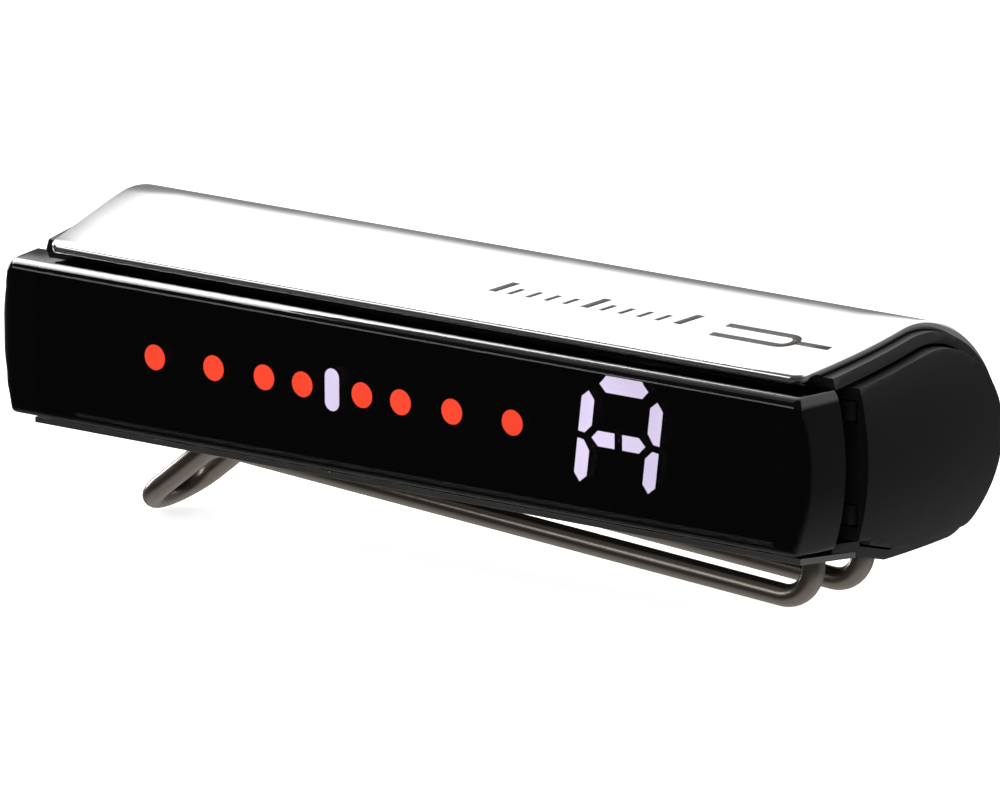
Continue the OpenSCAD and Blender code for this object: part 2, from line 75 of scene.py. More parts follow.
class TunerBodySettings(bpy.types.PropertyGroup):
    """Sizes of the bar"""

    half_length: FloatProperty(
        name="Half length", description="From the middle of the bar to the crown of an end",
        default=LENS_HIGH.x, unit="LENGTH", precision=5)
    front: FloatProperty(
        name="Front", description="Place of the window's face", default=LENS_LOW.y,
        unit="LENGTH", precision=5)
    back: FloatProperty(
        name="Back", description="Place of the round back", default=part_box("metal_cover")[1].y,
        unit="LENGTH", precision=5)
    back_radius: FloatProperty(
        name="Back radius", description="Radius of the round back", default=10.95 * MM,
        unit="LENGTH", precision=5)
    crown_plan_radius: FloatProperty(
        name="Crown radius from above", description="Radius of the domed ends, seen from above",
        default=70 * MM, unit="LENGTH", precision=4)
    crown_side_radius: FloatProperty(
        name="Crown radius from the side",
        description="Radius of the domed ends, seen from the front",
        default=22 * MM, unit="LENGTH", precision=4)


class TunerCoverSettings(bpy.types.PropertyGroup):
    """Sizes and colour of the metal cover and its printed marks"""

    thickness: FloatProperty(
        name="Thickness", description="Thickness of the sheet", default=0.8 * MM,
        unit="LENGTH", precision=5)
    length: FloatProperty(
        name="Length", description="Length along the front edge", default=79 * MM,
        unit="LENGTH", precision=5)
    shift: FloatProperty(
        name="Shift", description="How far the cover sits to the right of the middle",
        default=0.4 * MM, unit="LENGTH", precision=5)
    edge: FloatProperty(
        name="Edge", description="Radius of its softened edges", default=0.24 * MM,
        unit="LENGTH", precision=5)
    colour: FloatVectorProperty(
        name="Metal", description="Colour of the metal", subtype="COLOR", size=3, min=0, max=1,
        default=(0.88, 0.88, 0.89))
    print_colour: FloatVectorProperty(
        name="Print", description="Colour of the printed marks", subtype="COLOR", size=3,
        min=0, max=1, default=(0.06, 0.05, 0.046))


class TunerWindowSettings(bpy.types.PropertyGroup):
    """Sizes of the window, and the colours of the lights behind it"""

    top_edge: FloatProperty(
        name="Top edge", description="Radius of the window's round top edge", default=1.1 * MM,
        unit="LENGTH", precision=5)
    corner: FloatProperty(
        name="Corner", description="Radius of the window's corners, seen from above",
        default=2.6 * MM, unit="LENGTH", precision=5)
    wall: FloatProperty(
        name="Wall", description="Thickness in front of the lights", default=1 * MM,
        unit="LENGTH", precision=5)
    smoke: FloatVectorProperty(
        name="Smoke", description="Tint of the window", subtype="COLOR", size=3, min=0, max=1,
        default=(0.12, 0.113, 0.1235))
    red: FloatVectorProperty(
        name="Red lights", description="Colour of the round lights", subtype="COLOR", size=3,
        min=0, max=1, default=(1.0, 0.075, 0.031))
    white: FloatVectorProperty(
        name="White lights", description="Colour of the note display", subtype="COLOR", size=3,
        min=0, max=1, default=(0.74, 0.685, 0.85))
    brightness: FloatProperty(
        name="Brightness", description="Strength of the lights", default=9.0, min=0, max=20)


class TunerPlasticSettings(bpy.types.PropertyGroup):
    """Colour of the black mouldings"""

    colour: FloatVectorProperty(
        name="Black", description="Colour of the case and caps", subtype="COLOR", size=3,
        min=0, max=1, default=(0.003, 0.0028, 0.0031))
    edge: FloatProperty(
        name="Edge", description="Radius of the softened edges", default=0.12 * MM,
        unit="LENGTH", precision=5)


class TunerClipSettings(bpy.types.PropertyGroup):
    """Sizes and colour of the spring clip"""

    wire: FloatProperty(
        name="Wire", description="Diameter of the wire", default=1.9 * MM,
        unit="LENGTH", precision=5)
    strand_gap: FloatProperty(
        name="Strand gap", description="Distance between the two strands", default=6.8 * MM,
        unit="LENGTH", precision=5)
    rise: FloatProperty(
        name="Rise", description="Slope of the strands up towards the bar",
        default=math.radians(3.65), unit="ROTATION")
    lip_slope: FloatProperty(
        name="Lip slope", description="Slope of the flared lip", default=math.radians(38),
        unit="ROTATION")
    colour: FloatVectorProperty(
        name="Metal", description="Colour of the wire", subtype="COLOR", size=3, min=0, max=1,
        default=(0.40, 0.35, 0.30))


class TunerStageSettings(bpy.types.PropertyGroup):
    """Camera and studio"""

    azimuth: FloatProperty(
        name="Azimuth", description="Direction the camera stands in", default=math.radians(38.1),
        unit="ROTATION")
    elevation: FloatProperty(
        name="Elevation", description="Height angle of the camera", default=math.radians(13.88),
        unit="ROTATION")
    roll: FloatProperty(
        name="Roll", description="Tilt of the camera", default=math.radians(-0.333),
        unit="ROTATION")
    distance: FloatProperty(
        name="Distance", description="From the camera to the window", default=1.32, unit="LENGTH")
    lens: FloatProperty(
        name="Lens", description="Focal length in millimetres", default=579.7, min=1, max=2000)
    floor: FloatVectorProperty(
        name="Floor", description="Colour of the floor", subtype="COLOR", size=3, min=0, max=1,
        default=(0.90, 0.90, 0.90))


SETTINGS = {
    "tuner_body": TunerBodySettings,
    "tuner_cover": TunerCoverSettings,
    "tuner_window": TunerWindowSettings,
    "tuner_plastic": TunerPlasticSettings,
    "tuner_clip": TunerClipSettings,
    "tuner_stage": TunerStageSettings,
}


def settings(name):
    return getattr(bpy.context.scene, name)


# ---------------------------------------------------------------- outlines of the bar


def polar(centre, radius, angle):
    return centre[0] + radius * math.cos(angle), centre[1] + radius * math.sin(angle)


def arc(centre, radius, start, end, steps):
    return [polar(centre, radius, start + (end - start) * i / steps) for i in range(steps + 1)]


def blended_min(first, second, width=0.8):
    """The smaller of two lengths, with a smooth change where they cross"""
    return (first + second - math.hypot(first - second, width)) / 2


class Bar:
    """The bar's side view and domed ends, in millimetres"""

    tip = (-11.7, 7.5)  # front top edge of the metal cover, (y, z)
    back_centre_z = -1.7
    low_radius = 4.0
    floor_z = -10.5

    def __init__(self):
        body = settings("tuner_body")
        self.half = body.half_length / MM
        self.front = body.front / MM
        self.back = body.back / MM
        self.radius = body.back_radius / MM
        self.plan = body.crown_plan_radius / MM
        self.side = body.crown_side_radius / MM
        self.centre = (self.back - self.radius, self.back_centre_z)
        reach = math.dist(self.tip, self.centre)
        lean = math.atan2(self.tip[1] - self.centre[1], self.tip[0] - self.centre[0])
        self.top_angle = lean - math.acos(self.radius / reach)
        low_z = self.floor_z + self.low_radius
        inner = self.radius - self.low_radius
        low_y = self.centre[0] + math.sqrt(inner**2 - (low_z - self.centre[1]) ** 2)
        self.low_angle = math.atan2(low_z - self.centre[1], low_y - self.centre[0])
        self.top_point = polar(self.centre, self.radius, self.top_angle)

    def top_z(self, y):
        """Height of the flat top at y"""
        run = self.top_point[0] - self.tip[0]
        return self.tip[1] + (self.top_point[1] - self.tip[1]) * (y - self.tip[0]) / run

    def crown(self, y, z, end):
        """x of the domed end whose crown is at x = end"""
        ring = self.plan - self.side + math.sqrt(self.side**2 - z * z)
        return end - self.plan + math.sqrt(ring * ring - y * y)


# ---------------------------------------------------------------- making pieces


def new_object(name, data):
    """An object in the scene's own collection"""
    made = bpy.data.objects.new(name, data)
    bpy.context.scene.collection.objects.link(made)
    return made


def quads(count, rows, closed=False):
    """Faces between neighbouring rows of points, with count points to a row"""
    faces = []
    for j in range(rows - 1):
        for i in range(count if closed else count - 1):
            k = (i + 1) % count
            faces.append((j * count + i, j * count + k, (j + 1) * count + k, (j + 1) * count + i))
    return faces


def mesh_piece(name, points, faces, body, material, replaces=()):
    """A smooth shaded mesh from points in millimetres, riding on a body"""
    mesh = bpy.data.meshes.new(name)
    mesh.from_pydata([(x * MM, y * MM, z * MM + ROW_Z) for x, y, z in points], [], faces)
    build = bmesh.new()
    build.from_mesh(mesh)
    bmesh.ops.remove_doubles(build, verts=build.verts, dist=SAME_POINT)
    bmesh.ops.dissolve_degenerate(build, edges=build.edges, dist=SAME_POINT)
    bmesh.ops.recalc_face_normals(build, faces=build.faces)
    for face in build.faces:
        face.smooth = True
    build.to_mesh(mesh)
    build.free()
    piece = new_object(name, mesh)
    mesh.materials.append(material)
    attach(piece, body)
    if replaces:
        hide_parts(*replaces)
    return piece


def soften(piece, radius, angle=35, segments=3, flat_faces=True):
    """Rounds the edges that turn by more than the angle, and can keep flat faces flat"""
    bevel = piece.modifiers.new("Soft edges", "BEVEL")
    bevel.width = radius
    bevel.segments = segments
    bevel.limit_method = "ANGLE"
    bevel.angle_limit = math.radians(angle)
    bevel.use_clamp_overlap = True
    bevel.miter_outer = "MITER_ARC"
    if flat_faces:
        weighted = piece.modifiers.new("Flat faces", "WEIGHTED_NORMAL")
        weighted.keep_sharp = True
        weighted.weight = 60
    return piece


def dress(node, material, edge=None, angle=35):
    """Gives a CAD node its finish and, with edge, softened edges"""
    piece = NODES[node]
    piece.data.materials.clear()
    piece.data.materials.append(material)
    for polygon in piece.data.polygons:
        polygon.material_index = 0
    if edge:
        weld = piece.modifiers.new("Joined faces", "WELD")
        weld.merge_threshold = CAD_SAME_POINT
        flat = piece.modifiers.new("Whole faces", "DECIMATE")
        flat.decimate_type = "DISSOLVE"
        flat.angle_limit = CAD_FLAT
        soften(piece, edge, angle)
    return piece


# ---------------------------------------------------------------- node groups


def new_group(name, inputs, outputs):
    """An empty shader node group with named sockets. inputs is (name, default), outputs is names"""
    group = bpy.data.node_groups.new(name, "ShaderNodeTree")
    kind = "NodeSocketFloat"
    for label, default in inputs:
        socket = group.interface.new_socket(name=label, in_out="INPUT", socket_type=kind)
        socket.default_value = default
    for label in outputs:
        group.interface.new_socket(name=label, in_out="OUTPUT", socket_type=kind)
    return group, group.nodes.new("NodeGroupInput"), group.nodes.new("NodeGroupOutput")


def math_node(tree, operation, first, second=None, clamp=False):
    """A Math node. Each operand is a number or a socket"""
    node = tree.nodes.new("ShaderNodeMath")
    node.operation = operation
    node.use_clamp = clamp
    for index, operand in enumerate((first, second)):
        if operand is None:
            continue
        if isinstance(operand, (int, float)):
            node.inputs[index].default_value = operand
        else:
            tree.links.new(operand, node.inputs[index])
    return node.outputs[0]


def noise_node(tree, vector, **values):
    """A Noise Texture over a vector. The values are those of its inputs"""
    noise = tree.nodes.new("ShaderNodeTexNoise")
    for label, value in values.items():
        noise.inputs[label].default_value = value
    tree.links.new(vector, noise.inputs["Vector"])
    return noise


def piece_vector(tree):
    """Coordinates that are fixed to the piece"""
    return tree.nodes.new("ShaderNodeTexCoord").outputs["Object"]


def stretched_range(tree, source, low, high):
    """0 where the source is low, and 1 where it is high"""
    ramp = tree.nodes.new("ShaderNodeMapRange")
    ramp.inputs["From Min"].default_value = low
    ramp.inputs["From Max"].default_value = high
    tree.links.new(source, ramp.inputs["Value"])
    return ramp.outputs[0]


def tone_around_one(group, given, source):
    """1, plus the source's swing about its middle times Tone Spread"""
    off = math_node(group, "SUBTRACT", source, 0.5)
    spread = math_node(group, "MULTIPLY", off, given.outputs["Tone Spread"])
    return math_node(group, "ADD", spread, 1.0)


def grain_group():
    """Fine moulded or blasted grain: a height and a tone that vary over the surface"""
    group, given, result = new_group(
        "Moulded grain", [("Scale", 3000.0), ("Tone Spread", 0.1)], ["Height", "Tone"])
    where = piece_vector(group)
    noise = noise_node(group, where, Detail=3.0, Roughness=0.6)
    group.links.new(given.outputs["Scale"], noise.inputs["Scale"])
    cloud = noise_node(group, where, Scale=90.0)
    group.links.new(noise.outputs["Fac"], result.inputs["Height"])
    tone = tone_around_one(group, given, cloud.outputs["Fac"])
    group.links.new(tone, result.inputs["Tone"])
    return group


def brushed_group():
    """Fine lines along the bar: a height and a tone that vary across it"""
    group, given, result = new_group(
        "Brushed lines", [("Scale", 9000.0), ("Stretch", 0.02), ("Tone Spread", 0.1)],
        ["Height", "Tone"])
    parts = group.nodes.new("ShaderNodeSeparateXYZ")
    group.links.new(piece_vector(group), parts.inputs[0])
    stretched = group.nodes.new("ShaderNodeCombineXYZ")
    along = math_node(group, "MULTIPLY", parts.outputs["X"], given.outputs["Stretch"])
    group.links.new(along, stretched.inputs["X"])
    group.links.new(parts.outputs["Y"], stretched.inputs["Y"])
    group.links.new(parts.outputs["Z"], stretched.inputs["Z"])
    noise = noise_node(group, stretched.outputs[0], Detail=4.0, Roughness=0.7)
    group.links.new(given.outputs["Scale"], noise.inputs["Scale"])
    group.links.new(noise.outputs["Fac"], result.inputs["Height"])
    tone = tone_around_one(group, given, noise.outputs["Fac"])
    group.links.new(tone, result.inputs["Tone"])
    return group


def wear_group():
    """Rubbed edges: a mask that rises on sharp convex edges, broken up by a noise"""
    group, given, result = new_group("Rubbed edges", [("Amount", 0.5)], ["Mask"])
    shape = group.nodes.new("ShaderNodeNewGeometry")
    edges = stretched_range(group, shape.outputs["Pointiness"], 0.52, 0.62)
    noise = noise_node(group, piece_vector(group), Scale=600.0)
    broken = math_node(group, "MULTIPLY", edges, noise.outputs["Fac"])
    mask = math_node(group, "MULTIPLY", broken, given.outputs["Amount"], clamp=True)
    group.links.new(mask, result.inputs["Mask"])
    return group


def handling_group():
    """Faint finger marks: a mask of soft clouds"""
    group, given, result = new_group("Handling", [("Scale", 60.0), ("Amount", 0.2)], ["Mask"])
    noise = noise_node(group, piece_vector(group), Detail=5.0, Distortion=0.6)
    group.links.new(given.outputs["Scale"], noise.inputs["Scale"])
    clouds = stretched_range(group, noise.outputs["Fac"], 0.45, 0.75)
    mask = math_node(group, "MULTIPLY", clouds, given.outputs["Amount"])
    group.links.new(mask, result.inputs["Mask"])
    return group


GROUPS = {}


def effect(tree, name, **values):
    """Places a shared effect in a material with its own values"""
    makers = {
        "grain": grain_group, "brushed": brushed_group,
        "wear": wear_group, "handling": handling_group}
    if name not in GROUPS:
        GROUPS[name] = makers[name]()
    node = tree.nodes.new("ShaderNodeGroup")
    node.node_tree = GROUPS[name]
    for label, value in values.items():
        node.inputs[label.replace("_", " ")].default_value = value
    return node


# ---------------------------------------------------------------- finishes


def new_material(name, colour, metallic=0.0, roughness=0.5):
    material = bpy.data.materials.new(name)
    material.use_nodes = True
    shader = material.node_tree.nodes["Principled BSDF"]
    shader.inputs["Base Color"].default_value = (*colour, 1.0)
    shader.inputs["Metallic"].default_value = metallic
    shader.inputs["Roughness"].default_value = roughness
    return material, material.node_tree, shader


def scaled(tree, colour, tone):
    """The colour times the tone"""
    scale = tree.nodes.new("ShaderNodeVectorMath")
    scale.operation = "SCALE"
    scale.inputs[0].default_value = colour
    tree.links.new(tone, scale.inputs["Scale"])
    return scale.outputs[0]


def toned(tree, shader, colour, tone, mask=None, worn=None):
    """Base Color is the colour times the tone, and worn where the mask is 1"""
    source = scaled(tree, colour, tone)
    if mask is not None:
        mix = tree.nodes.new("ShaderNodeMix")
        mix.data_type = "RGBA"
        tree.links.new(mask, mix.inputs["Factor"])
        tree.links.new(source, mix.inputs["A"])
        mix.inputs["B"].default_value = (*worn, 1.0)
        source = mix.outputs["Result"]
    tree.links.new(source, shader.inputs["Base Color"])


def bumped(tree, shader, height, strength, distance):
    bump = tree.nodes.new("ShaderNodeBump")
    bump.inputs["Strength"].default_value = strength
    bump.inputs["Distance"].default_value = distance
    tree.links.new(height, bump.inputs["Height"])
    tree.links.new(bump.outputs[0], shader.inputs["Normal"])


def rough_by(tree, shader, roughness, mask):
    """Roughness is the given one plus the mask"""
    tree.links.new(math_node(tree, "ADD", mask, roughness), shader.inputs["Roughness"])


def metal(name, colour, roughness, lines=0.1, scale=9000.0, stretch=0.02):
    """Brushed or drawn metal with faint finger marks and brighter edges"""
    material, tree, shader = new_material(name, colour, 1.0, roughness)
    brushed = effect(tree, "brushed", Scale=scale, Stretch=stretch, Tone_Spread=lines)
    worn = effect(tree, "wear", Amount=0.3)
    touched = effect(tree, "handling", Scale=70.0, Amount=0.05)
    bright = tuple(min(1.0, c * 1.25 + 0.02) for c in colour)
    toned(tree, shader, colour, brushed.outputs["Tone"], worn.outputs["Mask"], bright)
    rough_by(tree, shader, roughness, touched.outputs["Mask"])
    bumped(tree, shader, brushed.outputs["Height"], 0.03, 0.02 * MM)
    return material


def plastic(name, colour, roughness, scale=4000.0, bump=0.12, wear=0.4, gloss=0.5):
    """Moulded plastic or rubber with a fine grain and slightly rubbed edges"""
    material, tree, shader = new_material(name, colour, 0.0, roughness)
    shader.inputs["Specular IOR Level"].default_value = gloss
    grain = effect(tree, "grain", Scale=scale, Tone_Spread=0.15)
    worn = effect(tree, "wear", Amount=wear)
    touched = effect(tree, "handling", Scale=50.0, Amount=0.06)
    light = tuple(c * 1.6 + 0.004 for c in colour)
    toned(tree, shader, colour, grain.outputs["Tone"], worn.outputs["Mask"], light)
    rough_by(tree, shader, roughness, touched.outputs["Mask"])
    bumped(tree, shader, grain.outputs["Height"], bump, 0.03 * MM)
    return material


def glowing(name, colour, strength):
    """A lit diffuser, whose brightness varies a little over its face"""
    material, tree, shader = new_material(name, tuple(0.4 * c for c in colour), 0.0, 0.6)
    grain = effect(tree, "grain", Scale=900.0, Tone_Spread=0.7)
    lit = scaled(tree, colour, grain.outputs["Tone"])
    tree.links.new(lit, shader.inputs["Emission Color"])
    shader.inputs["Emission Strength"].default_value = strength
    return material


def smoked_glass(name, colour):
    """The window: clear smoked acrylic with a polished face"""
    material, tree, shader = new_material(name, colour, 0.0, 0.015)
    shader.inputs["Transmission Weight"].default_value = 1.0
    shader.inputs["IOR"].default_value = 1.49
    touched = effect(tree, "handling", Scale=40.0, Amount=0.012)
    rough_by(tree, shader, 0.012, touched.outputs["Mask"])
    return material


def sleeve(name, colour, end_colour, band_x):
    """The cell's plain two-tone sleeve, which changes colour at band_x"""
    material, tree, shader = new_material(name, colour, 0.6, 0.3)
    parts = tree.nodes.new("ShaderNodeSeparateXYZ")
    tree.links.new(piece_vector(tree), parts.inputs[0])
    band = math_node(tree, "GREATER_THAN", parts.outputs["X"], band_x)
    mix = tree.nodes.new("ShaderNodeMix")
    mix.data_type = "RGBA"
    tree.links.new(band, mix.inputs["Factor"])
    mix.inputs["A"].default_value = (*colour, 1.0)
    mix.inputs["B"].default_value = (*end_colour, 1.0)
    tree.links.new(mix.outputs["Result"], shader.inputs["Base Color"])
    grain = effect(tree, "grain", Scale=1500.0, Tone_Spread=0.1)
    bumped(tree, shader, grain.outputs["Height"], 0.05, 0.02 * MM)
    return material


def circuit_board(name, colour):
    """Solder mask with tracks that show as slightly lighter lines"""
    material, tree, shader = new_material(name, colour, 0.0, 0.35)
    brick = tree.nodes.new("ShaderNodeTexBrick")
    brick.inputs["Scale"].default_value = 500.0
    brick.inputs["Color1"].default_value = (*colour, 1.0)
    brick.inputs["Color2"].default_value = (*(0.8 * c for c in colour), 1.0)
    brick.inputs["Mortar"].default_value = (*(1.8 * c for c in colour), 1.0)
    brick.inputs["Mortar Size"].default_value = 0.03
    tree.links.new(piece_vector(tree), brick.inputs["Vector"])
    tree.links.new(brick.outputs["Color"], shader.inputs["Base Color"])
    grain = effect(tree, "grain", Scale=2500.0, Tone_Spread=0.1)
    bumped(tree, shader, grain.outputs["Height"], 0.08, 0.02 * MM)
    return material


FINISHES = {}


def finish(slot):
    """The material of a slot, made once"""
    if slot in FINISHES:
        return FINISHES[slot]
    window = settings("tuner_window")
    black = tuple(settings("tuner_plastic").colour)
    makers = {
        "cover_metal": lambda: metal(slot, tuple(settings("tuner_cover").colour), 0.20, lines=0.05),
        "plate_steel": lambda: metal(slot, (0.50, 0.49, 0.48), 0.26),
        "spring_wire": lambda: metal(
            slot, tuple(settings("tuner_clip").colour), 0.27,
            lines=0.3, scale=4000.0, stretch=0.03),
        "zinc": lambda: metal(slot, (0.55, 0.55, 0.56), 0.38, stretch=1.0),
        "screw_steel": lambda: metal(slot, (0.68, 0.68, 0.68), 0.25, stretch=1.0),
        "contact_metal": lambda: metal(slot, (0.72, 0.68, 0.58), 0.25),
        "brass_disc": lambda: metal(slot, (0.78, 0.60, 0.28), 0.25),
        "black_plastic": lambda: plastic(slot, black, 0.36, gloss=0.32),
        "button_plastic": lambda: plastic(slot, (0.03, 0.03, 0.033), 0.42),
        "block_black": lambda: plastic(
            slot, (0.001, 0.001, 0.001), 0.7, bump=0.05, wear=0.0, gloss=0.05),
        "seal_rubber": lambda: plastic(slot, (0.004, 0.004, 0.004), 0.8, wear=0.0),
        "chip_black": lambda: plastic(slot, (0.015, 0.015, 0.016), 0.5),
        "chip_amber": lambda: plastic(slot, (0.75, 0.62, 0.25), 0.4, wear=0.0),
        "piezo_white": lambda: plastic(slot, (0.80, 0.79, 0.75), 0.3, wear=0.1),
        "foam": lambda: plastic(
            slot, (0.05, 0.05, 0.05), 0.9, scale=1500.0, bump=0.5, wear=0.0),
        "board_green": lambda: circuit_board(slot, (0.015, 0.10, 0.04)),
        "cell_jacket": lambda: sleeve(slot, (0.05, 0.06, 0.065), (0.62, 0.45, 0.18), 27 * MM),
        "red_glow": lambda: glowing(slot, tuple(window.red), window.brightness),
        "white_glow": lambda: glowing(slot, tuple(window.white), window.brightness),
        "smoked_window": lambda: smoked_glass(slot, tuple(window.smoke)),
        "window_black": lambda: plastic(
            slot, (0.0003, 0.0003, 0.0003), 0.03, bump=0.0, wear=0.0),
        "printed_grey": lambda: plastic(
            slot, tuple(settings("tuner_cover").print_colour), 0.6, bump=0.05, wear=0.0, gloss=0.2),
    }
    FINISHES[slot] = makers[slot]()
    return FINISHES[slot]


# ---------------------------------------------------------------- pieces


class TUNER_OT_cover(bpy.types.Operator):
    """Folded metal sheet over the top and round the back"""

    bl_idname = "tuner.cover"
    bl_label = "Metal cover"

    corner = 1.5  # radius of the front corners, seen from above
    flare = 1.2  # how much wider the sheet is at the middle of the bar
    middle_y = -2.0
    back_flare = 4.0
    rim_drop = 0.8  # the sheet stops this far short of the right crown
    left_slant = 0.235  # how fast the left edge widens towards the back
    left_lip = 1.3  # the sheet stands this far past the left crown
    nose = 0.08  # how much of the sheet's thickness is left at its round front edge
    tuck = math.radians(2.5)  # the sheet turns this far under past the low back corner
    corner_steps = 14
    top_steps = 9
    back_steps = 56
    columns = 16
    edge_turns = (30, 60, 90, 120, 150)  # degrees round the sheet's left and right edge

    def half_width(self, bar, cover, y, z):
        """x of the sheet's right and left edge at y, z"""
        ahead = y - bar.tip[0]
        half = cover.length / MM / 2
        if ahead < self.corner:
            rise = self.corner**2 - (self.corner - ahead) ** 2
            reach = half - self.corner + math.sqrt(max(0.0, rise))
        elif y < self.middle_y:
            share = (ahead - self.corner) / (self.middle_y - bar.tip[0] - self.corner)
            reach = half + self.flare * share
        else:
            share = (y - self.middle_y) / (bar.back + 1 - self.middle_y)
            reach = half + self.flare + (self.back_flare - self.flare) * share
        limit = bar.crown(y, z, bar.half - self.rim_drop)
        shift = cover.shift / MM
        if ahead < self.corner:
            left = reach - shift
        else:
            left = half - shift + self.left_slant * (ahead - self.corner)
        left_limit = bar.crown(y, z, bar.half + self.left_lip)
        return blended_min(shift + reach, limit), -blended_min(left, left_limit)

    def lines(self, bar, thick):
        """Side view of the sheet's outer and inner face, from front edge to low back edge"""
        outer = []
        for step in range(self.corner_steps + 1):
            turn = math.radians(90 * step / self.corner_steps)
            y = bar.tip[0] + self.corner * (1 - math.cos(turn))
            outer.append((y, bar.top_z(y)))
        flat = bar.top_point[0] - bar.tip[0] - self.corner
        for step in range(1, self.top_steps):
            y = bar.tip[0] + self.corner + flat * step / self.top_steps
            outer.append((y, bar.top_z(y)))
        inner = [(y, z - thick / math.sin(bar.top_angle)) for y, z in outer]
        end = bar.low_angle + self.tuck
        outer += arc(bar.centre, bar.radius, bar.top_angle, end, self.back_steps)
        inner += arc(bar.centre, bar.radius - thick, bar.top_angle, end, self.back_steps)
        return outer, inner

    def execute(self, context):
        bar = Bar()
        cover = settings("tuner_cover")
        edge = cover.edge / MM
        outer, inner = self.lines(bar, cover.thickness / MM)
        turns = [math.radians(turn) for turn in self.edge_turns]
        bend = [(math.sin(turn), math.cos(turn)) for turn in turns]
        points = []
        for (y, z), (low_y, low_z) in zip(outer, inner):
            ahead = max(0.0, 1 - (y - bar.tip[0]) / edge)
            swell = max(self.nose, math.sqrt(1 - ahead**2))
            half_y, half_z = (y - low_y) / 2 * swell, (z - low_z) / 2 * swell
            right, left = self.half_width(bar, cover, y, z)
            right, left = right - edge * swell, left + edge * swell
            across = [left + (right - left) * i / self.columns for i in range(self.columns + 1)]
            rim = [(edge * swell * out, high) for out, high in bend]
            loop = [(x, 1.0) for x in across] + [(right + out, high) for out, high in rim]
            loop += [(x, -1.0) for x in reversed(across)]
            loop += [(left - out, -high) for out, high in rim]
            middle_y, middle_z = (y + low_y) / 2, (z + low_z) / 2
            points += [
                (x, middle_y + half_y * high, middle_z + half_z * high) for x, high in loop]
        count = len(points) // len(outer)
        faces = quads(count, len(outer), closed=True)
        faces += [tuple(range(count)), tuple(range(len(points) - count, len(points)))]
        piece = mesh_piece(
            "cover_sheet", points, faces, "case", finish("cover_metal"),
            ["metal_cover"])
        soften(piece, 0.1 * MM, 50, flat_faces=False)
        return {"FINISHED"}


class TUNER_OT_marks(bpy.types.Operator):
    """Plain printed marks on the cover: a tuning fork, and a scale of ticks beside it"""

    bl_idname = "tuner.marks"
    bl_label = "Printed marks"

    lift = 0.012  # the print stands this far above the metal
    thick = 0.02
    fork_at = (33.0, -5.2)  # middle of the fork's bow, (x, y)
    line = 0.75  # width of the fork's lines
    bow = 1.5  # radius of the fork's bow
    prong = 6.5
    stem = 3.2
    overlap = 0.05  # the stem starts this far inside the bow
    scale_at = (3.0, -5.6)  # foot of the first tick, (x, y)
    ticks = 11
    tall_every = 5
    pitch = 1.9
    slant = 0.3
    tall_tick = (0.8, 2.4)  # (width, height)
    short_tick = (0.5, 1.4)

    def patch(self, bar, name, outline):
        """A thin printed patch on the flat top. outline is (x, y)"""
        count = len(outline)
        points = [(x, y, bar.top_z(y) + self.lift) for x, y in outline]
        points += [(x, y, bar.top_z(y) + self.lift - self.thick) for x, y in outline]
        faces = [tuple(range(count)), tuple(range(2 * count - 1, count - 1, -1))]
        faces += [(i, (i + 1) % count, count + (i + 1) % count, count + i) for i in range(count)]
        return mesh_piece(name, points, faces, "case", finish("printed_grey"))

    def execute(self, context):
        bar = Bar()
        x, y = self.fork_at
        end, half = x - self.prong, self.line / 2
        bow = arc(self.fork_at, self.bow, math.pi / 2, -math.pi / 2, 20)
        hollow = arc(self.fork_at, self.bow - self.line, -math.pi / 2, math.pi / 2, 20)
        self.patch(
            bar, "fork_mark",
            [(end, y + self.bow), *bow, (end, y - self.bow), (end, y - self.bow + self.line),
             *hollow, (end, y + self.bow - self.line)])
        foot, tip = x + self.bow - self.overlap, x + self.bow + self.stem
        self.patch(
            bar, "fork_stem_mark",
            [(foot, y - half), (tip, y - half), (tip, y + half), (foot, y + half)])
        x, y = self.scale_at
        for number in range(self.ticks):
            wide, tall = self.short_tick if number % self.tall_every else self.tall_tick
            left, over = x + self.pitch * number, self.slant * tall
            self.patch(
                bar, f"scale_tick_{number}",
                [(left, y), (left + wide, y), (left + wide + over, y + tall),
                 (left + over, y + tall)])
        return {"FINISHED"}


